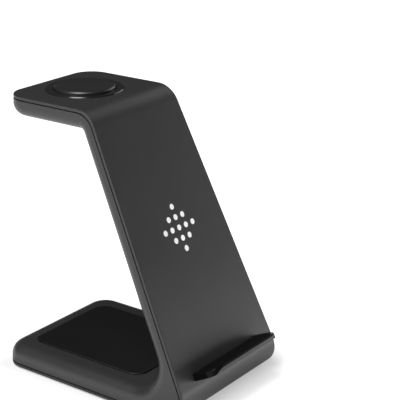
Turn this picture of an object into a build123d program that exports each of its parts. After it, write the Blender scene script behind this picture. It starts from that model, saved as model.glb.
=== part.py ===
from build123d import *
from math import cos, radians, sin, tan
import os

# Three in one wireless charging stand, in millimetres, +Z up and +Y to the back.
# A band of nearly even thickness folds from the base up a leaning phone panel and back
# into a watch platform. The origin is on the desk, under the middle of the whole stand.

# Whole stand
width = 82.1  # across the base at its underside
side_draft = 3.42  # degrees that each side leans inward
base_length = 120.0  # from the nose to the back of the base
stand_height = 146.2  # from the underside of the base to the top of the platform
lean = 25.0  # degrees that the phone panel leans back
base_thickness = 11.1
panel_thickness = 10.7
platform_thickness = 11.0
platform_setback = 1.7  # the platform ends this much before the base does
nose_radius = 12.0
bend_radius = 13.0  # outside of the bend between panel and platform
inner_bend_radius = 2.0
flare_radius = 14.0  # between the panel's back and the base
corner_radius = 12.0  # back corners seen from above
back_edge_radius = 6.4  # soft edge round the back of the whole band
front_edge_radius = 0.4

# Shell
cover = 1.5  # thickness of the front cover and the bottom cover
wall = 2.0  # thickness of the rear shell
seam_width = 0.7
seam_depth = 1.2
fit = 0.1  # clearance between pieces that slide together

# Dots that mark the middle of the phone panel
mark_height = 83.9  # above the underside of the base
dot_diameter = 3.0
dot_spacing = 5.5
dot_depth = 0.5
dot_rows = (1, 3, 5, 3, 1)

# Ledge for the phone
ledge_drop = 67.8  # from the middle of the dots down the panel to the top of the ledge
ledge_reach = 15.2
ledge_width = 55.2
ledge_root = 3.9  # thickness where it meets the panel
ledge_tip = 3.2
ledge_lip = 1.0  # the upright part of the front face
ledge_undercut = 2.0  # below it the front face slopes back by this much
ledge_corner = 6.5
ledge_edge = 0.6
ledge_pad_inset = 1.3
ledge_pad_thickness = 0.9
ledge_pad_proud = 0.3
tenon_width = 44.0
tenon_thickness = 2.2
tenon_length = 3.4

# Earbud pad on the base
earbud_pad_width = 56.8
earbud_pad_length = 72.7
earbud_pad_margin = 10.7  # from the back of the base to the pad
earbud_pad_corner = 6.8
earbud_pad_thickness = 1.4
earbud_pad_proud = 0.5
earbud_pad_edge = 0.5
earbud_pad_gap = 0.6  # open line between the pad and its recess

# Watch rest on the platform
watch_margin = 27.6  # from the back of the base to the middle of the watch rest
bezel_width = 4.2
bezel_proud = 0.5
bezel_seat = 0.7  # depth of its recess in the cover
bezel_edge = 0.4
puck_diameter = 31.6
puck_proud = 1.8
puck_wall = 1.2
puck_flange_width = 2.2
puck_flange_thickness = 1.0
puck_dish = 0.5  # hollow in the middle of the charging face
dish_slope = 70.0  # degrees, of the side of that hollow
puck_edge = 0.6
watch_coil_diameter = 26.0
watch_magnet_diameter = 10.0
watch_coil_thickness = 1.2
watch_ferrite_thickness = 0.8
watch_board_thickness = 1.2

# Coils of the phone panel and the base
phone_coil_diameter = 42.0
phone_coil_hole = 18.0
phone_coil_spacing = 46.0
phone_coil_offset = -13.0  # middle of the two coils, from the middle of the dots
coil_thickness = 1.0
coil_gap = 0.3  # between the front cover and the coils
ferrite_thickness = 0.8
ferrite_rim = 1.0  # the ferrite is this much wider than its coil all round
carrier_width = 54.0
carrier_length = 98.0
carrier_thickness = 1.2
carrier_corner = 4.0
carrier_screw_inset = 3.2
earbud_coil_diameter = 38.0
earbud_coil_hole = 14.0

# Main board and charging inlet
board_width = 54.0
board_length = 44.0
board_thickness = 1.0
board_standoff = 1.0
board_back_gap = 1.0  # between the board and the back wall
board_screw_inset = 3.5
chip_size = 7.0
chip_height = 2.4
chip_gap = 9.0
inlet_width = 8.94
inlet_height = 3.26
inlet_length = 7.35
inlet_corner = 1.45
inlet_sheet = 0.3
inlet_recess = 0.5  # the mouth lies this much inside the back face
tongue_width = 6.7
tongue_thickness = 0.7
tongue_length = 4.9

# Flat cable from the main board to the watch rest
flex_width = 8.0
flex_thickness = 0.3
flex_bend = 8.0
flex_overlap = 4.0  # how far it lies on each board

# Feet and screws
foot_height = 0.8
foot_diameter = 12.0
foot_side = 31.0  # from the middle of the stand
foot_back = 11.5  # from the back of the base
foot_front = 11.5  # from the front of the bottom cover
screw_diameter = 2.5
screw_head_diameter = 4.6
screw_head_height = 0.9
screw_length = 6.0
boss_diameter = 6.0
boss_root = 0.5  # each boss runs this far into the wall that carries it

# Places worked out from those sizes
underside = foot_height
top = underside + stand_height
base_top = underside + base_thickness
platform_under = top - platform_thickness
draft_tan = tan(radians(side_draft))
draft_cos = cos(radians(side_draft))
lean_tan = tan(radians(lean))
lean_cos = cos(radians(lean))
lean_sin = sin(radians(lean))
mark_z = underside + mark_height
mark_from_nose = (mark_height - nose_radius) * lean_tan - nose_radius / lean_cos
tip_from_nose = mark_from_nose - ledge_drop * lean_sin - ledge_reach * lean_cos
nose_y = -(tip_from_nose + base_length - nose_radius) / 2
mark_y = nose_y + mark_from_nose
base_back = nose_y - nose_radius + base_length
platform_back = base_back - platform_setback
up_panel = (0, lean_sin, lean_cos)
out_of_panel = (0, -lean_cos, lean_sin)
panel = Plane(origin=(0, mark_y, mark_z), x_dir=(1, 0, 0), z_dir=out_of_panel)
panel_side = Plane(origin=panel.origin, x_dir=out_of_panel, z_dir=(-1, 0, 0))
ledge_top = Plane(origin=panel.from_local_coords((0, -ledge_drop, 0)), x_dir=(1, 0, 0), z_dir=up_panel)
watch_y = base_back - watch_margin
earbud_y = base_back - earbud_pad_margin - earbud_pad_length / 2
foot_spots = [
    (x, y)
    for x in (-foot_side, foot_side)
    for y in (base_back - foot_back, nose_y + foot_front)
]

os.makedirs("parts", exist_ok=True)


def panel_y(z, depth):
    """Y, at height z, of the surface that lies this deep behind the panel's front face."""
    return mark_y + (z - mark_z) * lean_tan + depth / lean_cos


def round_corner(sketch, corner, radius):
    """Round the corner of the current sketch that lies nearest to the given point."""
    fillet(sketch.vertices().sort_by_distance(corner)[0], radius)


def band(front=0.0, back=0.0, soft_edges=True):
    """The folded band, moved inward by front on its nose, face and top, and by back elsewhere."""
    nose = (panel_y(underside + front, front), underside + front)
    bend = (panel_y(top - front, front), top - front)
    inner_bend = (panel_y(platform_under + back, panel_thickness - back), platform_under + back)
    flare = (panel_y(base_top - back, panel_thickness - back), base_top - back)
    low = underside - base_thickness
    high = top + platform_thickness
    half_low = width / 2 - (low - underside) * draft_tan - back / draft_cos
    half_high = width / 2 - (high - underside) * draft_tan - back / draft_cos
    with BuildPart() as body:
        with BuildSketch(Plane.YZ) as outline:
            with BuildLine():
                Polyline(
                    (base_back - back, underside + front),
                    nose,
                    bend,
                    (platform_back - back, top - front),
                    (platform_back - back, platform_under + back),
                    inner_bend,
                    flare,
                    (base_back - back, base_top - back),
                    close=True,
                )
            make_face()
            round_corner(outline, nose, nose_radius - front)
            round_corner(outline, bend, bend_radius - front)
            round_corner(outline, inner_bend, inner_bend_radius + back)
            round_corner(outline, flare, flare_radius + back)
        extrude(amount=width, both=True)
        with BuildSketch(Plane.XZ):
            with BuildLine():
                Polyline(
                    (half_low, low),
                    (half_high, high),
                    (-half_high, high),
                    (-half_low, low),
                    close=True,
                )
            make_face()
        extrude(amount=2 * base_length, both=True, mode=Mode.INTERSECT)
        back_faces = body.faces().filter_by(Axis.Y)
        fillet(back_faces.edges().filter_by(Axis.X, reverse=True), corner_radius - back)
        if soft_edges:
            back_edges = body.edges().filter_by(Axis.X)
            fillet(back_edges.sort_by_distance((0, base_back, base_top))[0], back_edge_radius - back)
    return body


def behind_cover(depth):
    """All the room that lies deeper than depth behind the nose, the face and the top."""
    far = 2 * base_length
    nose = (panel_y(underside + depth, depth), underside + depth)
    bend = (panel_y(top - depth, depth), top - depth)
    with BuildPart() as room:
        with BuildSketch(Plane.YZ) as outline:
            with BuildLine():
                Polyline((far, underside + depth), nose, bend, (far, top - depth), close=True)
            make_face()
            round_corner(outline, nose, nose_radius - depth)
            round_corner(outline, bend, bend_radius - depth)
        extrude(amount=width, both=True)
    return room.part


def export(piece, name):
    """Label a finished piece and write it to its own file."""
    piece.part.label = name
    export_step(piece.part, f"parts/{name}.step")


# The whole outside of the stand, with its soft back edge and its small front edge
outside = band()
with outside:
    front_edges = outside.edges().filter_by(Axis.X)
    fillet(front_edges.sort_by_distance((0, base_back, underside))[0], front_edge_radius)

inner_room = behind_cover(cover)

# Seam groove that runs round the stand where the rear shell meets its covers
with BuildPart() as seam:
    add(inner_room)
    add(behind_cover(cover + seam_width), mode=Mode.SUBTRACT)
    add(band(0.0, seam_depth, soft_edges=False).part, mode=Mode.SUBTRACT)

# Screw bosses: four stand under the base for the bottom cover, four behind the panel for the coils
carrier_back = cover + coil_gap + coil_thickness + ferrite_thickness + carrier_thickness
carrier_screw_x = carrier_width / 2 - carrier_screw_inset
carrier_screw_y = carrier_length / 2 - carrier_screw_inset
carrier_spots = [
    (x, phone_coil_offset + y)
    for x in (-carrier_screw_x, carrier_screw_x)
    for y in (-carrier_screw_y, carrier_screw_y)
]
carrier_boss_height = panel_thickness - wall - carrier_back
with BuildPart() as bosses:
    with BuildSketch(Plane.XY.offset(underside + cover)):
        with Locations(foot_spots):
            Circle(boss_diameter / 2)
    extrude(amount=base_thickness + flare_radius)
    with BuildSketch(panel.offset(-carrier_back)):
        with Locations(carrier_spots):
            Circle(boss_diameter / 2)
    extrude(amount=-panel_thickness)
    add(band(cover / 2, wall - boss_root).part, mode=Mode.INTERSECT)
    with BuildSketch(Plane.XY.offset(underside + cover)):
        with Locations(foot_spots):
            Circle(screw_diameter / 2 + fit / 2)
    extrude(amount=screw_length, mode=Mode.SUBTRACT)
    with BuildSketch(panel.offset(-carrier_back)):
        with Locations(carrier_spots):
            Circle(screw_diameter / 2 + fit / 2)
    extrude(amount=-carrier_boss_height, mode=Mode.SUBTRACT)

# Rear shell: sides, back, base top and platform underside in one moulding
inlet_z = underside + cover + board_standoff + board_thickness + inlet_height / 2
with BuildPart() as rear_shell:
    add(outside.part)
    add(inner_room, mode=Mode.INTERSECT)
    add(band(cover / 2, wall).part, mode=Mode.SUBTRACT)
    add(seam.part, mode=Mode.SUBTRACT)
    with BuildSketch(Plane.XY.offset(base_top)):
        with Locations((0, earbud_y)):
            RectangleRounded(
                earbud_pad_width + 2 * earbud_pad_gap,
                earbud_pad_length + 2 * earbud_pad_gap,
                earbud_pad_corner + earbud_pad_gap,
            )
    extrude(amount=-(earbud_pad_thickness - earbud_pad_proud), mode=Mode.SUBTRACT)
    with BuildSketch(Plane.XZ.offset(-base_back)):
        with Locations((0, inlet_z)):
            RectangleRounded(inlet_width + 2 * fit, inlet_height + 2 * fit, inlet_corner + fit)
    extrude(amount=2 * wall, both=True, mode=Mode.SUBTRACT)
    add(bosses.part)
export(rear_shell, "rear_shell")

# Front cover: nose, phone panel and platform top in one skin, with its dots, slot and watch hole
bezel_bore = puck_diameter / 2 + 2 * fit
bezel_radius = bezel_bore + bezel_width
with BuildPart() as front_cover:
    add(outside.part)
    add(inner_room, mode=Mode.SUBTRACT)
    with BuildSketch(Plane.XY.offset(underside - cover)):
        with Locations((0, nose_y + base_length)):
            Rectangle(2 * width, 2 * base_length)
    extrude(amount=3 * cover, mode=Mode.SUBTRACT)
    for row, count in enumerate(dot_rows):
        with BuildSketch(panel):
            with Locations((0, (row - len(dot_rows) // 2) * dot_spacing)):
                with GridLocations(dot_spacing, dot_spacing, count, 1):
                    Circle(dot_diameter / 2)
        extrude(amount=-dot_depth, mode=Mode.SUBTRACT)
    with BuildSketch(panel):
        with Locations((0, -ledge_drop - ledge_root / 2)):
            Rectangle(tenon_width + 2 * fit, tenon_thickness + 2 * fit)
    extrude(amount=-tenon_length, mode=Mode.SUBTRACT)
    with BuildSketch(Plane.XY.offset(top)):
        with Locations((0, watch_y)):
            Circle(bezel_radius + fit)
    extrude(amount=-bezel_seat, mode=Mode.SUBTRACT)
    with BuildSketch(Plane.XY.offset(top)):
        with Locations((0, watch_y)):
            Circle(puck_diameter / 2 + fit)
    extrude(amount=-2 * cover, mode=Mode.SUBTRACT)
export(front_cover, "front_cover")

# White dots, set flush in the front cover in a diamond
with BuildPart() as dot_inlays:
    for row, count in enumerate(dot_rows):
        with BuildSketch(panel):
            with Locations((0, (row - len(dot_rows) // 2) * dot_spacing)):
                with GridLocations(dot_spacing, dot_spacing, count, 1):
                    Circle(dot_diameter / 2)
        extrude(amount=-dot_depth)
export(dot_inlays, "dot_inlays")

# Bottom cover: the flat closing plate, with standoffs for the main board
board_y = base_back - wall - board_back_gap - board_length / 2
board_screw_x = board_width / 2 - board_screw_inset
board_screw_y = board_length / 2 - board_screw_inset
board_spots = [
    (x, board_y + y)
    for x in (-board_screw_x, board_screw_x)
    for y in (-board_screw_y, board_screw_y)
]
with BuildPart() as bottom_cover:
    add(outside.part)
    add(inner_room, mode=Mode.SUBTRACT)
    with BuildSketch(Plane.XY.offset(underside - cover)):
        with Locations((0, nose_y + base_length)):
            Rectangle(2 * width, 2 * base_length)
    extrude(amount=3 * cover, mode=Mode.INTERSECT)
    with BuildSketch(Plane.XY.offset(underside)):
        with Locations(foot_spots):
            Circle(screw_head_diameter / 2 + fit)
    extrude(amount=screw_head_height, mode=Mode.SUBTRACT)
    with BuildSketch(Plane.XY.offset(underside)):
        with Locations(foot_spots):
            Circle(screw_diameter / 2 + fit)
    extrude(amount=2 * cover, mode=Mode.SUBTRACT)
    with BuildSketch(Plane.XY.offset(underside + cover)):
        with Locations(board_spots):
            Circle(boss_diameter / 2)
    extrude(amount=board_standoff)
    with BuildSketch(Plane.XY.offset(underside + cover + board_standoff)):
        with Locations(board_spots):
            Circle(screw_diameter / 2 + fit / 2)
    extrude(amount=-(board_standoff + cover / 2), mode=Mode.SUBTRACT)
export(bottom_cover, "bottom_cover")

# Phone ledge: a tapering tongue, square to the panel, with a tenon through the front cover
with BuildPart() as phone_ledge:
    with BuildSketch(ledge_top) as plan:
        with Locations((0, -ledge_reach / 2)):
            Rectangle(ledge_width, ledge_reach)
        fillet(plan.vertices().group_by(Axis.Y)[0], ledge_corner)
    extrude(amount=-ledge_root)
    top_edges = phone_ledge.edges().filter_by(Axis.X).group_by(Axis(panel.origin, up_panel))[-1]
    fillet(top_edges.sort_by(Axis(panel.origin, out_of_panel))[-1], ledge_edge)
    with BuildSketch(panel_side):
        with BuildLine():
            Polyline(
                (0, -ledge_drop),
                (ledge_reach, -ledge_drop),
                (ledge_reach, -ledge_drop - ledge_lip),
                (ledge_reach - ledge_undercut, -ledge_drop - ledge_tip),
                (0, -ledge_drop - ledge_root),
                close=True,
            )
        make_face()
    extrude(amount=ledge_width, both=True, mode=Mode.INTERSECT)
    with BuildSketch(ledge_top):
        with Locations((0, -ledge_reach / 2)):
            RectangleRounded(
                ledge_width - 2 * ledge_pad_inset + 2 * fit,
                ledge_reach - 2 * ledge_pad_inset + 2 * fit,
                ledge_corner - ledge_pad_inset + fit,
            )
    extrude(amount=-(ledge_pad_thickness - ledge_pad_proud), mode=Mode.SUBTRACT)
    with BuildSketch(panel):
        with Locations((0, -ledge_drop - ledge_root / 2)):
            Rectangle(tenon_width, tenon_thickness)
    extrude(amount=-tenon_length)
export(phone_ledge, "phone_ledge")

# Soft pad let into the top of the ledge
with BuildPart() as ledge_pad:
    with BuildSketch(ledge_top.offset(ledge_pad_proud - ledge_pad_thickness)):
        with Locations((0, -ledge_reach / 2)):
            RectangleRounded(
                ledge_width - 2 * ledge_pad_inset,
                ledge_reach - 2 * ledge_pad_inset,
                ledge_corner - ledge_pad_inset,
            )
    extrude(amount=ledge_pad_thickness)
    fillet(ledge_pad.faces().sort_by(Axis(panel.origin, up_panel))[-1].edges(), ledge_pad_proud / 2)
export(ledge_pad, "ledge_pad")

# Soft pad let into the base for the earbud case
with BuildPart() as earbud_pad:
    with BuildSketch(Plane.XY.offset(base_top + earbud_pad_proud - earbud_pad_thickness)):
        with Locations((0, earbud_y)):
            RectangleRounded(earbud_pad_width, earbud_pad_length, earbud_pad_corner)
    extrude(amount=earbud_pad_thickness)
    fillet(earbud_pad.faces().sort_by(Axis.Z)[-1].edges(), earbud_pad_edge)
export(earbud_pad, "earbud_pad")

# Watch rest: a low ring on the platform round a raised, slightly hollow charging puck
with BuildPart() as watch_bezel:
    with BuildSketch(Plane.XY.offset(top - bezel_seat)):
        with Locations((0, watch_y)):
            Circle(bezel_radius)
            Circle(bezel_bore, mode=Mode.SUBTRACT)
    extrude(amount=bezel_seat + bezel_proud)
    chamfer(watch_bezel.faces().sort_by(Axis.Z)[-1].edges(), bezel_edge)
export(watch_bezel, "watch_bezel")

puck_top = top + puck_proud
puck_radius = puck_diameter / 2
flange_top = top - cover
with BuildPart() as watch_puck:
    with BuildSketch(Plane.XY.offset(flange_top - puck_flange_thickness)):
        with Locations((0, watch_y)):
            Circle(puck_radius + puck_flange_width)
            Circle(puck_radius - puck_wall, mode=Mode.SUBTRACT)
    extrude(amount=puck_flange_thickness)
    with BuildSketch(Plane.XY.offset(flange_top)):
        with Locations((0, watch_y)):
            Circle(puck_radius)
    extrude(amount=puck_top - flange_top)
    chamfer(watch_puck.faces().sort_by(Axis.Z)[-1].edges(), puck_edge)
    with BuildSketch(Plane.XY.offset(flange_top)):
        with Locations((0, watch_y)):
            Circle(puck_radius - puck_wall)
    extrude(amount=puck_top - puck_wall - flange_top, mode=Mode.SUBTRACT)
    with BuildSketch(Plane.XY.offset(puck_top)):
        with Locations((0, watch_y)):
            Circle(puck_radius - puck_wall)
    extrude(amount=-puck_dish, taper=dish_slope, mode=Mode.SUBTRACT)
export(watch_puck, "watch_puck")

# Charging parts of the watch rest, stacked under the face of the puck
watch_coil_top = puck_top - puck_wall
watch_ferrite_top = watch_coil_top - watch_coil_thickness
watch_board_top = watch_ferrite_top - watch_ferrite_thickness
with BuildPart() as watch_coil:
    with BuildSketch(Plane.XY.offset(watch_coil_top)):
        with Locations((0, watch_y)):
            Circle(watch_coil_diameter / 2)
            Circle(watch_magnet_diameter / 2 + fit, mode=Mode.SUBTRACT)
    extrude(amount=-watch_coil_thickness)
export(watch_coil, "watch_coil")

with BuildPart() as watch_magnet:
    with BuildSketch(Plane.XY.offset(watch_coil_top)):
        with Locations((0, watch_y)):
            Circle(watch_magnet_diameter / 2)
    extrude(amount=-watch_coil_thickness)
export(watch_magnet, "watch_magnet")

with BuildPart() as watch_ferrite:
    with BuildSketch(Plane.XY.offset(watch_ferrite_top)):
        with Locations((0, watch_y)):
            Circle(watch_coil_diameter / 2 + ferrite_rim)
    extrude(amount=-watch_ferrite_thickness)
export(watch_ferrite, "watch_ferrite")

with BuildPart() as watch_board:
    with BuildSketch(Plane.XY.offset(watch_board_top)):
        with Locations((0, watch_y)):
            Circle(watch_coil_diameter / 2)
    extrude(amount=-watch_board_thickness)
export(watch_board, "watch_board")

# Two phone coils, one above the other, each on a ferrite disc
coil_front = cover + coil_gap
for name, place in (("upper", 1), ("lower", -1)):
    coil_middle = phone_coil_offset + place * phone_coil_spacing / 2
    with BuildPart() as phone_coil:
        with BuildSketch(panel.offset(-coil_front)):
            with Locations((0, coil_middle)):
                Circle(phone_coil_diameter / 2)
                Circle(phone_coil_hole / 2, mode=Mode.SUBTRACT)
        extrude(amount=-coil_thickness)
    export(phone_coil, f"{name}_phone_coil")

    with BuildPart() as phone_ferrite:
        with BuildSketch(panel.offset(-coil_front - coil_thickness)):
            with Locations((0, coil_middle)):
                Circle(phone_coil_diameter / 2 + ferrite_rim)
        extrude(amount=-ferrite_thickness)
    export(phone_ferrite, f"{name}_phone_ferrite")

# Coil carrier: a plate on four bosses of the rear shell, held by screws from the front
with BuildPart() as coil_carrier:
    with BuildSketch(panel.offset(-carrier_back)):
        with Locations((0, phone_coil_offset)):
            RectangleRounded(carrier_width, carrier_length, carrier_corner)
        with Locations(carrier_spots):
            Circle(screw_diameter / 2 + fit, mode=Mode.SUBTRACT)
    extrude(amount=carrier_thickness)
export(coil_carrier, "coil_carrier")


def screws(name, seat, spots, length):
    """A group of equal screws: heads on the outside of the seat plane, shanks behind it."""
    with BuildPart() as group:
        with BuildSketch(seat):
            with Locations(spots):
                Circle(screw_head_diameter / 2)
        extrude(amount=screw_head_height)
        with BuildSketch(seat):
            with Locations(spots):
                Circle(screw_diameter / 2)
        extrude(amount=-length)
    export(group, name)


carrier_face = panel.offset(carrier_thickness - carrier_back)
screws("carrier_screws", carrier_face, carrier_spots, carrier_boss_height)

# Earbud coil and its ferrite under the top of the base
coil_top = base_top - wall
with BuildPart() as earbud_coil:
    with BuildSketch(Plane.XY.offset(coil_top)):
        with Locations((0, earbud_y)):
            Circle(earbud_coil_diameter / 2)
            Circle(earbud_coil_hole / 2, mode=Mode.SUBTRACT)
    extrude(amount=-coil_thickness)
export(earbud_coil, "earbud_coil")

with BuildPart() as earbud_ferrite:
    with BuildSketch(Plane.XY.offset(coil_top - coil_thickness)):
        with Locations((0, earbud_y)):
            Circle(earbud_coil_diameter / 2 + ferrite_rim)
    extrude(amount=-ferrite_thickness)
export(earbud_ferrite, "earbud_ferrite")

# Main board on the bottom cover, with its screws, its chips and the charging inlet
board_top = underside + cover + board_standoff + board_thickness
with BuildPart() as main_board:
    with BuildSketch(Plane.XY.offset(board_top)):
        with Locations((0, board_y)):
            Rectangle(board_width, board_length)
        with Locations(board_spots):
            Circle(screw_diameter / 2 + fit, mode=Mode.SUBTRACT)
    extrude(amount=-board_thickness)
export(main_board, "main_board")

screws("board_screws", Plane.XY.offset(board_top), board_spots, board_thickness + board_standoff)

with BuildPart() as board_chips:
    with BuildSketch(Plane.XY.offset(board_top)):
        with Locations((0, board_y)):
            with GridLocations(chip_size + chip_gap, chip_size + chip_gap, 2, 2):
                Rectangle(chip_size, chip_size)
    extrude(amount=chip_height)
export(board_chips, "board_chips")

inlet_mouth = base_back - inlet_recess
with BuildPart() as usb_c_socket:
    with BuildSketch(Plane.XZ.offset(-inlet_mouth)):
        with Locations((0, inlet_z)):
            RectangleRounded(inlet_width, inlet_height, inlet_corner)
    extrude(amount=inlet_length)
    with BuildSketch(Plane.XZ.offset(-inlet_mouth)):
        with Locations((0, inlet_z)):
            RectangleRounded(
                inlet_width - 2 * inlet_sheet,
                inlet_height - 2 * inlet_sheet,
                inlet_corner - inlet_sheet,
            )
    extrude(amount=inlet_length - inlet_sheet, mode=Mode.SUBTRACT)
export(usb_c_socket, "usb_c_socket")

with BuildPart() as usb_c_tongue:
    with BuildSketch(Plane.XZ.offset(-(inlet_mouth - inlet_length + inlet_sheet))):
        with Locations((0, inlet_z)):
            Rectangle(tongue_width, tongue_thickness)
    extrude(amount=-tongue_length)
export(usb_c_tongue, "usb_c_tongue")

# Flat cable: along the base, up the back of the coil carrier and under the watch board
flex_low = board_top + flex_thickness / 2
flex_high = watch_board_top - watch_board_thickness - flex_thickness / 2
flex_depth = carrier_back + flex_thickness / 2
flex_route = [
    (board_y - board_length / 2 + flex_overlap, flex_low),
    (panel_y(flex_low, flex_depth), flex_low),
    (panel_y(flex_high, flex_depth), flex_high),
    (watch_y - watch_coil_diameter / 2 + flex_overlap, flex_high),
]
with BuildPart() as flex_cable:
    with BuildSketch(Plane.YZ):
        with BuildLine() as route:
            FilletPolyline(*flex_route, radius=flex_bend)
        trace(route.line, line_width=flex_thickness)
    extrude(amount=flex_width / 2, both=True)
export(flex_cable, "flex_cable")

# Base screws, driven from below, and the rubber feet that hide their heads
head_seat = Plane(origin=(0, 0, underside + screw_head_height), x_dir=(-1, 0, 0), z_dir=(0, 0, -1))
screws("base_screws", head_seat, [(-x, y) for x, y in foot_spots], screw_length)

with BuildPart() as rubber_feet:
    with BuildSketch(Plane.XY):
        with Locations(foot_spots):
            Circle(foot_diameter / 2)
    extrude(amount=foot_height)
export(rubber_feet, "rubber_feet")
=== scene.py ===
from math import pi, radians

import bpy
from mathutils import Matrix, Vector


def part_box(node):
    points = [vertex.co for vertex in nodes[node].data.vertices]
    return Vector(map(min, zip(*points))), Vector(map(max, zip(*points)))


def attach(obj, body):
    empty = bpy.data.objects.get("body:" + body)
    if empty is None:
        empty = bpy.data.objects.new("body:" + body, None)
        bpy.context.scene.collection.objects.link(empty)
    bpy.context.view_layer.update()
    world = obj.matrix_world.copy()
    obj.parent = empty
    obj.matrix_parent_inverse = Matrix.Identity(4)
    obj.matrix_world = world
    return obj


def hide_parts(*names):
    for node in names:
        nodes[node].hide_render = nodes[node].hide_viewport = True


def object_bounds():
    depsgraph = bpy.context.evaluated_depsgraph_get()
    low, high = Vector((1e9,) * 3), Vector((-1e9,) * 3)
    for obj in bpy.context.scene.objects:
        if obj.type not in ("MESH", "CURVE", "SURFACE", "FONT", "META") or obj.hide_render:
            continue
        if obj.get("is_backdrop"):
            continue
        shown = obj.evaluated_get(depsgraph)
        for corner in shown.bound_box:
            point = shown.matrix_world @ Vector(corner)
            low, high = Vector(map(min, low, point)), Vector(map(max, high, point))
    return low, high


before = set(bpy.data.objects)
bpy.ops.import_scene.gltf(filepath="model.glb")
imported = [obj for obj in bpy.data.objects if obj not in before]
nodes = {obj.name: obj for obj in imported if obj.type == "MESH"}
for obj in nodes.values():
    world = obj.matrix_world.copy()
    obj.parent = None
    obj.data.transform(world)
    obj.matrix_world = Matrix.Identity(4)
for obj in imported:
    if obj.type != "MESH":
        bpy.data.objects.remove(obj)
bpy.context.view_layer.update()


# Rear shell: the sides, the back, the base top and the underside of the platform are one
# injection moulding in black ABS. Its tool is spark eroded, so the outside has a fine matt
# grain. Bosses on its inside take the screws.
class Wire:
    """One socket of a shader. Arithmetic on wires adds Math nodes."""

    def __init__(self, socket):
        self.socket = socket
        self.tree = socket.id_data

    def node(self, kind, settings, sockets, output=0):
        """Add a node: first its settings, then the values or wires of its sockets."""
        made = self.tree.nodes.new(kind)
        for name, value in settings.items():
            setattr(made, name, value)
        for name, value in sockets.items():
            if isinstance(value, Wire):
                self.tree.links.new(value.socket, made.inputs[name])
            else:
                made.inputs[name].default_value = value
        return Wire(made.outputs[output])

    def into(self, socket):
        self.tree.links.new(self.socket, socket)

    def maths(self, operation, first, second=0.0):
        return self.node("ShaderNodeMath", {"operation": operation}, {0: first, 1: second})

    def __add__(self, other):
        return self.maths("ADD", self, other)

    __radd__ = __add__

    def __sub__(self, other):
        return self.maths("SUBTRACT", self, other)

    def __rsub__(self, other):
        return self.maths("SUBTRACT", other, self)

    def __mul__(self, other):
        return self.maths("MULTIPLY", self, other)

    __rmul__ = __mul__

    def __gt__(self, other):
        return self.maths("GREATER_THAN", self, other)


def new_finish(name):
    """A fresh material, its shader and the place on the piece as a wire."""
    finish = bpy.data.materials.new(name)
    finish.use_nodes = True
    shader = finish.node_tree.nodes["Principled BSDF"]
    place = Wire(finish.node_tree.nodes.new("ShaderNodeTexCoord").outputs["Object"])
    return finish, shader, place


def specks(place, size, detail=2.0):
    """Soft noise with lumps of about this size, in metres."""
    sockets = {"Vector": place, "Scale": 1 / size, "Detail": detail}
    return place.node("ShaderNodeTexNoise", {}, sockets)


def blend(amount, dark, light):
    """Colour between dark and light."""
    sockets = {"Factor": amount, 6: (*dark, 1), 7: (*light, 1)}
    return amount.node("ShaderNodeMix", {"data_type": "RGBA"}, sockets, 2)


def relief(height, depth):
    """Surface relief of this depth, in metres."""
    return height.node("ShaderNodeBump", {}, {"Height": height, "Distance": depth}, 0)


def moulded(name, dark, light, shine, grain, depth, gleam=0.5):
    """Moulded plastic: cloudy colour, uneven gloss and the grain of an eroded tool."""
    finish, shader, place = new_finish(name)
    cloud = specks(place, 0.018, 4.0)
    pits = specks(place, grain, 3.0)
    shader.inputs["Specular IOR Level"].default_value = gleam
    blend(cloud * 0.6 + pits * 0.4, dark, light).into(shader.inputs["Base Color"])
    (shine + 0.08 * (cloud - 0.5) + 0.10 * (pits - 0.5)).into(shader.inputs["Roughness"])
    relief(pits, depth).into(shader.inputs["Normal"])
    return finish


def dress(finish, *names):
    """Give these CAD pieces a finish in place of their plain one."""
    for name in names:
        nodes[name].data.materials.clear()
        nodes[name].data.materials.append(finish)


shell_black = moulded(
    "shell_black", (0.022, 0.022, 0.023), (0.028, 0.028, 0.029),
    shine=0.40, grain=0.00028, depth=0.000012, gleam=0.35,
)
dress(shell_black, "rear_shell")

# Coil carrier: a plain black plate in glass filled nylon behind the phone panel. Four screws
# hold it to the bosses, and the two phone coils lie on its front.
carrier_black = moulded(
    "carrier_black", (0.030, 0.031, 0.033), (0.055, 0.056, 0.060),
    shine=0.55, grain=0.0006, depth=0.00003,
)
dress(carrier_black, "coil_carrier")


# Coils: enamelled copper litz wire, wound flat on a mandrel. Two stand one above the other
# behind the panel, one lies under the earbud pad and one under the watch puck.
def vectors(operation, first, second=(0, 0, 0), output=0):
    """A Vector Math node on the wire that comes first."""
    settings = {"operation": operation}
    return first.node("ShaderNodeVectorMath", settings, {0: first, 1: second}, output)


def from_middle(place, middle, turn):
    """Distance from the axis of a round piece that stands at middle, turned about X."""
    settings = {"vector_type": "TEXTURE"}
    sockets = {"Vector": place, "Location": middle, "Rotation": (turn, 0, 0)}
    local = place.node("ShaderNodeMapping", settings, sockets)
    flat = vectors("MULTIPLY", local, (1, 1, 0))
    return vectors("LENGTH", flat, output="Value")


def wound(name, turn, wire):
    """Copper turns of this wire thickness round the middle of a coil, with painted shade between
    the turns.
    """
    finish, shader, place = new_finish(name + "_turns")
    low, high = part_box(name)
    radius = from_middle(place, (low + high) / 2, turn)
    ridge_and_painted_shade = radius.maths("SINE", radius * (2 * pi / wire)) * 0.5 + 0.5
    strands = specks(place, 0.0009)
    # The copper is painted darker in the valleys between the turns and lighter on their crowns:
    # painted shade.
    blend(ridge_and_painted_shade * 0.7 + strands * 0.3, (0.20, 0.07, 0.025), (0.66, 0.31, 0.14)).into(
        shader.inputs["Base Color"]
    )
    shader.inputs["Metallic"].default_value = 0.9
    (0.30 + 0.2 * strands).into(shader.inputs["Roughness"])
    relief(ridge_and_painted_shade, wire / 3).into(shader.inputs["Normal"])
    return finish


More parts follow.
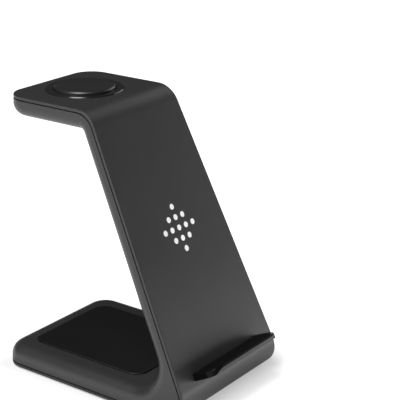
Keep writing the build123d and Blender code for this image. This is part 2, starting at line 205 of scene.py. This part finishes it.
panel_turn = radians(65)
dress(wound("upper_phone_coil", panel_turn, wire=0.0011), "upper_phone_coil")
dress(wound("lower_phone_coil", panel_turn, wire=0.0011), "lower_phone_coil")
dress(wound("earbud_coil", 0, wire=0.0009), "earbud_coil")
dress(wound("watch_coil", 0, wire=0.0007), "watch_coil")

# Ferrite sheets: pressed and sintered, dark grey and slightly speckled. Each lies behind its
# coil and keeps the field away from the metal below.
ferrite_grey, shader, place = new_finish("ferrite_grey")
crystals = specks(place, 0.0007, 5.0)
blend(crystals, (0.035, 0.035, 0.040), (0.085, 0.085, 0.092)).into(shader.inputs["Base Color"])
(0.45 + 0.25 * crystals).into(shader.inputs["Roughness"])
relief(crystals, 0.00003).into(shader.inputs["Normal"])
dress(ferrite_grey, "upper_phone_ferrite", "lower_phone_ferrite", "earbud_ferrite", "watch_ferrite")

# Circuit boards: glass laminate under a green mask. The copper tracks show through it as a
# paler green. The main board stands on the bottom cover, the small one under the watch puck.
mask_green, shader, place = new_finish("mask_green")
settings = {"offset": 0.35, "squash": 0.6}
sockets = {"Vector": place, "Scale": 320.0, "Mortar Size": 0.035, "Mortar Smooth": 0.2}
tracks = place.node("ShaderNodeTexBrick", settings, sockets, "Fac")
weave = specks(place, 0.0012)
blend(tracks * 0.85 + weave * 0.15, (0.006, 0.050, 0.022), (0.040, 0.170, 0.070)).into(
    shader.inputs["Base Color"]
)
(0.30 + 0.15 * weave).into(shader.inputs["Roughness"])
relief(tracks, 0.00004).into(shader.inputs["Normal"])
dress(mask_green, "main_board", "watch_board")

# Chips: four blocks moulded in black epoxy round their silicon. They are soldered to the top of
# the main board.
chip_black = moulded(
    "chip_black", (0.010, 0.010, 0.011), (0.022, 0.022, 0.023),
    shine=0.55, grain=0.00015, depth=0.00001,
)
dress(chip_black, "board_chips")


# Charging inlet: a drawn steel can, nickel plated, pressed round a black tongue that has a
# row of gilded contacts. It is soldered to the back edge of the main board.
def plated(name, dark, light, shine, stretch):
    """Plated metal with fine marks, drawn out along the axis that stretch makes small."""
    finish, shader, place = new_finish(name)
    drawn = place.node("ShaderNodeMapping", {}, {"Vector": place, "Scale": stretch})
    marks = specks(drawn, 0.00025, 3.0)
    blend(marks, dark, light).into(shader.inputs["Base Color"])
    shader.inputs["Metallic"].default_value = 1.0
    (shine + 0.2 * marks).into(shader.inputs["Roughness"])
    relief(marks, 0.000004).into(shader.inputs["Normal"])
    return finish


can_nickel = plated(
    "can_nickel", (0.42, 0.41, 0.39), (0.62, 0.61, 0.58), shine=0.18, stretch=(1, 0.08, 1)
)
dress(can_nickel, "usb_c_socket")

tongue_gilt, shader, place = new_finish("tongue_gilt")
contact_pitch = 0.0005
across = place.node("ShaderNodeSeparateXYZ", {}, {"Vector": place}, "X")
contacts = across.maths("SINE", across * (2 * pi / contact_pitch)) > 0.1
grime = specks(place, 0.0004)
blend(contacts * (0.8 + 0.2 * grime), (0.012, 0.012, 0.013), (0.80, 0.52, 0.18)).into(
    shader.inputs["Base Color"]
)
contacts.into(shader.inputs["Metallic"])
(0.5 - 0.25 * contacts + 0.1 * grime).into(shader.inputs["Roughness"])
relief(contacts, 0.00003).into(shader.inputs["Normal"])
dress(tongue_gilt, "usb_c_tongue")

# Screws: small steel screws, zinc plated. They hold the coil carrier, the main board and the
# bottom cover.
screw_zinc = plated(
    "screw_zinc", (0.40, 0.40, 0.42), (0.60, 0.60, 0.62), shine=0.25, stretch=(1, 1, 0.3)
)
dress(screw_zinc, "carrier_screws", "board_screws", "base_screws")

# Flat cable: copper tracks between two amber films, laid from the main board up the back of
# the coil carrier to the watch rest.
film_amber, shader, place = new_finish("film_amber")
track_pitch = 0.001
across = place.node("ShaderNodeSeparateXYZ", {}, {"Vector": place}, "X")
tracks = across.maths("SINE", across * (2 * pi / track_pitch)) > -0.2
ripple = specks(place, 0.004)
blend(tracks * 0.8 + ripple * 0.2, (0.16, 0.055, 0.010), (0.52, 0.22, 0.055)).into(
    shader.inputs["Base Color"]
)
(0.28 + 0.2 * ripple).into(shader.inputs["Roughness"])
relief(tracks + ripple, 0.00003).into(shader.inputs["Normal"])
dress(film_amber, "flex_cable")

# Front cover: the nose, the phone panel and the top of the platform are one bent skin of the
# same black ABS, clipped to the rear shell. Its grain is finer than that of the rear shell.
panel_black = moulded(
    "panel_black", (0.022, 0.022, 0.023), (0.028, 0.028, 0.029),
    shine=0.40, grain=0.00022, depth=0.00001, gleam=0.35,
)
dress(panel_black, "front_cover")

# Dots: thirteen small discs in a diamond, moulded in white ABS. They are pressed flush into the
# panel.
dot_white = moulded(
    "dot_white", (0.90, 0.90, 0.90), (0.96, 0.96, 0.95),
    shine=0.45, grain=0.0003, depth=0.000006,
)
dress(dot_white, "dot_inlays")

# Watch rest: a polished black ring, glued into the platform, round a satin puck that stands a
# little higher. A nickel plated magnet sits in the middle of the coil below.
polished_black = moulded(
    "polished_black", (0.008, 0.008, 0.009), (0.012, 0.012, 0.013),
    shine=0.16, grain=0.0015, depth=0.000002,
)
dress(polished_black, "watch_bezel")
puck_black = moulded(
    "puck_black", (0.012, 0.012, 0.013), (0.018, 0.018, 0.019),
    shine=0.34, grain=0.0003, depth=0.000006,
)
dress(puck_black, "watch_puck")
magnet_nickel = plated(
    "magnet_nickel", (0.55, 0.54, 0.52), (0.74, 0.73, 0.71), shine=0.16, stretch=(1, 1, 1)
)
dress(magnet_nickel, "watch_magnet")

# Bottom cover: the closing plate under the base, moulded in the same black ABS as the rear
# shell. Four screws, hidden by the feet, hold it.
cover_black = moulded(
    "cover_black", (0.020, 0.020, 0.021), (0.026, 0.026, 0.027),
    shine=0.45, grain=0.0003, depth=0.000014, gleam=0.35,
)
dress(cover_black, "bottom_cover")

# Phone ledge: a polished black tongue, moulded by itself. Its tenon goes through a slot in the
# panel and is glued there.
ledge_black = moulded(
    "ledge_black", (0.003, 0.003, 0.003), (0.005, 0.005, 0.005),
    shine=0.20, grain=0.0012, depth=0.000002, gleam=0.07,
)
dress(ledge_black, "phone_ledge")


# Ledge pad: a strip of black silicone with soft edges, glued into the top of the ledge so that
# the phone doesn't slip.
def pick(piece, kind, chosen):
    """In edit mode, select only the edges or the faces whose corner points pass the test."""
    bpy.ops.object.mode_set(mode="EDIT")
    bpy.ops.mesh.select_mode(type=kind)
    bpy.ops.mesh.select_all(action="DESELECT")
    bpy.ops.object.mode_set(mode="OBJECT")
    for item in piece.data.edges if kind == "EDGE" else piece.data.polygons:
        item.select = chosen([piece.data.vertices[i].co for i in item.vertices])
    bpy.ops.object.mode_set(mode="EDIT")


def rounded_slab(name, middle, size, corner, edge):
    """A flat slab with round corners and a soft top edge, made at middle."""
    bpy.ops.object.select_all(action="DESELECT")
    bpy.ops.mesh.primitive_cube_add(size=1, location=middle)
    slab = bpy.context.object
    slab.name = name
    slab.scale = size
    bpy.ops.object.transform_apply(location=False, rotation=False, scale=True)
    nearly_top = size[2] * 0.49
    pick(slab, "EDGE", lambda ends: abs(ends[0].z - ends[1].z) > nearly_top)
    bpy.ops.mesh.bevel(offset=corner, segments=10)
    pick(slab, "EDGE", lambda ends: min(end.z for end in ends) > nearly_top)
    bpy.ops.mesh.bevel(offset=edge, segments=5)
    bpy.ops.object.mode_set(mode="OBJECT")
    return slab


def settle(piece, finish, slot, *stands_for):
    """Smooth a new piece, put its place into its mesh and hand it to the frame."""
    bpy.ops.object.select_all(action="DESELECT")
    piece.select_set(True)
    bpy.context.view_layer.objects.active = piece
    bpy.ops.object.transform_apply(location=True, rotation=True, scale=True)
    bpy.ops.object.shade_smooth_by_angle(angle=radians(40))
    piece.data.materials.clear()
    piece.data.materials.append(finish)
    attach(piece, "root")
    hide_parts(*stands_for)


def silicone(name, dark, light, shine, gleam=0.25):
    """Soft rubber: a dull, very fine grain and a faint bloom."""
    finish, shader, place = new_finish(name)
    bloom = specks(place, 0.009, 4.0)
    grain = specks(place, 0.0002, 3.0)
    shader.inputs["Specular IOR Level"].default_value = gleam
    blend(bloom * 0.7 + grain * 0.3, dark, light).into(shader.inputs["Base Color"])
    (shine + 0.1 * (bloom - 0.5) + 0.1 * (grain - 0.5)).into(shader.inputs["Roughness"])
    relief(grain, 0.000012).into(shader.inputs["Normal"])
    return finish


panel_lean = radians(25)
strip_black = silicone(
    "strip_black", (0.002, 0.002, 0.002), (0.004, 0.004, 0.004), shine=0.6, gleam=0.06
)
strip_reach = 0.0126
strip_thickness = 0.0009
low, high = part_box("ledge_pad")
strip_size = (high.x - low.x, strip_reach, strip_thickness)
strip_middle = (low + high) / 2
ledge_strip = rounded_slab("ledge_strip", strip_middle, strip_size, corner=0.0052, edge=0.00025)
ledge_strip.rotation_euler = (-panel_lean, 0, 0)
settle(ledge_strip, strip_black, "soft_pad", "ledge_pad")

# Earbud pad: a sheet of black silicone with soft edges, glued into the recess of the base. An
# open line of about half a millimetre runs round it.
pad_black = silicone("pad_black", (0.003, 0.003, 0.003), (0.005, 0.005, 0.005), shine=0.5)
low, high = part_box("earbud_pad")
mat_middle = (low + high) / 2
earbud_mat = rounded_slab("earbud_mat", mat_middle, high - low, corner=0.0068, edge=0.0006)
settle(earbud_mat, pad_black, "soft_pad", "earbud_pad")

# Feet: four discs of black rubber, cut from sheet, with a soft lower edge and a shallow ring
# that grips. They are glued over the screws of the bottom cover.
foot_black = silicone("foot_black", (0.010, 0.010, 0.010), (0.020, 0.020, 0.020), shine=0.75)
foot_radius = 0.006
foot_edge = 0.00025
rim_width = 0.0012
ring_width = 0.0009
ring_step = 0.0002
low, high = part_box("rubber_feet")
thick = high.z - low.z
corner = Vector((low.x + foot_radius, low.y + foot_radius, low.z + thick / 2))
bpy.ops.object.select_all(action="DESELECT")
bpy.ops.mesh.primitive_cylinder_add(vertices=64, radius=foot_radius, depth=thick, location=corner)
foot = bpy.context.object
pick(foot, "EDGE", lambda ends: max(end.z for end in ends) < 0)
bpy.ops.mesh.bevel(offset=foot_edge, segments=3)
pick(foot, "FACE", lambda rim: len(rim) > 8 and max(point.z for point in rim) < 0)
bpy.ops.mesh.inset(thickness=rim_width)
bpy.ops.mesh.inset(thickness=ring_step, depth=-ring_step)
bpy.ops.mesh.inset(thickness=ring_width)
bpy.ops.mesh.inset(thickness=ring_step, depth=ring_step)
bpy.ops.object.mode_set(mode="OBJECT")
foot.name = "foot_front_left"
across = Vector((high.x - low.x - 2 * foot_radius, 0, 0))
along = Vector((0, high.y - low.y - 2 * foot_radius, 0))
copies = {"foot_front_right": across, "foot_back_left": along, "foot_back_right": across + along}
for name, way in copies.items():
    twin = foot.copy()
    twin.data = foot.data.copy()
    twin.name = name
    twin.location = corner + way
    bpy.context.scene.collection.objects.link(twin)
    settle(twin, foot_black, "foot_rubber", "rubber_feet")
settle(foot, foot_black, "foot_rubber", "rubber_feet")


# Studio: a plain pale table under soft boxes. It looks white to the camera and in reflections.
# Its glow fades towards the stand, so that the stand's shadow stays on it, and the fade paints a
# shade round the stand's foot, light to the camera and black in reflections. Two boxes lie flat on
# the table and stand for the light that it throws back.
def soft_box(name, place, aim, size, glow):
    """A rectangular lamp whose face has this brightness, where 1 is white."""
    lamp = bpy.data.objects.new(name, bpy.data.lights.new(name, "AREA"))
    bpy.context.scene.collection.objects.link(lamp)
    lamp.data.shape = "RECTANGLE"
    lamp.data.size, lamp.data.size_y = size
    lamp.data.energy = glow * pi * size[0] * size[1]
    lamp.location = place
    lamp.rotation_euler = (Vector(aim) - Vector(place)).to_track_quat("-Z", "Y").to_euler()
    lamp.visible_camera = False


bpy.ops.object.select_all(action="DESELECT")
bpy.ops.mesh.primitive_plane_add(size=8, location=(0, 0, 0))
table = bpy.context.object
table.name = "table"
table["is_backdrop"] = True
table_white, shader, place = new_finish("table_white")
shader.inputs["Roughness"].default_value = 0.9
shader.inputs["Specular IOR Level"].default_value = 0.0
shader.inputs["Base Color"].default_value = (0.55, 0.55, 0.55, 1)
shader.inputs["Emission Color"].default_value = (1, 1, 1, 1)
low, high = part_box("bottom_cover")
offset = vectors("SUBTRACT", place, (low + high) / 2)
outside = vectors("SUBTRACT", vectors("ABSOLUTE", offset), (high - low) / 2)
away = vectors("LENGTH", vectors("MAXIMUM", outside), output="Value")


def glow_with_painted_shade(near):
    """Glow of the table with a painted shade: this much beside the stand, and white from the fade's
    end on.
    """
    fade = 0.03
    sockets = {"Value": away, "From Min": 0.0, "From Max": fade, "To Min": near, "To Max": 1.0}
    return away.node("ShaderNodeMapRange", {}, sockets)


rays = place.tree.nodes.new("ShaderNodeLightPath")
seen = Wire(rays.outputs["Is Camera Ray"])
mirrored = Wire(rays.outputs["Is Glossy Ray"]) + Wire(rays.outputs["Is Transmission Ray"])
# Beside the stand the glow is painted down to 0.35 for the camera and to none in reflections:
# painted shade.
strength = glow_with_painted_shade(near=0.35) * seen + glow_with_painted_shade(near=0.0) * mirrored
strength.into(shader.inputs["Emission Strength"])
table.data.materials.append(table_white)

middle = (0, 0, 0.07)
soft_box("left_high", (-0.47, 0, 0.95), middle, (0.5, 0.5), 12.0)
soft_box("left_mid", (-0.85, 0, 0.6), middle, (0.5, 0.5), 4.2)
soft_box("left_back_low", (-0.86, 0.5, 0.175), middle, (0.5, 0.5), 1.3)
soft_box("left_card", (-0.5, 0.1, 0.1), (0, 0.03, 0.03), (0.3, 0.18), 1.7)
soft_box("left_plate", (-0.066, 0.035, 0.001), (-0.066, 0.035, 1), (0.04, 0.11), 0.6)
soft_box("right_mid", (0.85, 0, 0.6), middle, (0.5, 0.5), 1.5)
soft_box("right_low", (0.93, -0.34, 0.175), middle, (0.5, 0.5), 1.4)
soft_box("front_card", (0.22, -0.27, 0.03), (0, -0.05, 0.03), (0.25, 0.05), 3.2)
soft_box("front_plate", (0.05, -0.14, 0.004), (0.05, -0.14, 1), (0.22, 0.08), 4.8)

world = bpy.context.scene.world or bpy.data.worlds.new("studio")
bpy.context.scene.world = world
world.use_nodes = True
world.node_tree.nodes["Background"].inputs["Color"].default_value = (1, 1, 1, 1)
world.node_tree.nodes["Background"].inputs["Strength"].default_value = 0.05

# Camera: it stands to the left of the front and looks down a little. Its place, its turn and
# its focal length were fitted to the straight edges and the dots of the photograph.
photo_focal_px = 1284.2
photo_width_px = 400
camera = bpy.data.objects.new("camera", bpy.data.cameras.new("camera"))
bpy.context.scene.collection.objects.link(camera)
camera.data.sensor_width = 36
camera.data.lens = photo_focal_px / photo_width_px * camera.data.sensor_width
camera.location = (-0.4765, -0.38774, 0.3120)
camera.rotation_euler = (radians(70.48), 0, radians(-53.53))
camera.data.clip_start = 0.01
bpy.context.scene.camera = camera
bpy.context.scene.view_settings.view_transform = "Standard"

low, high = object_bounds()
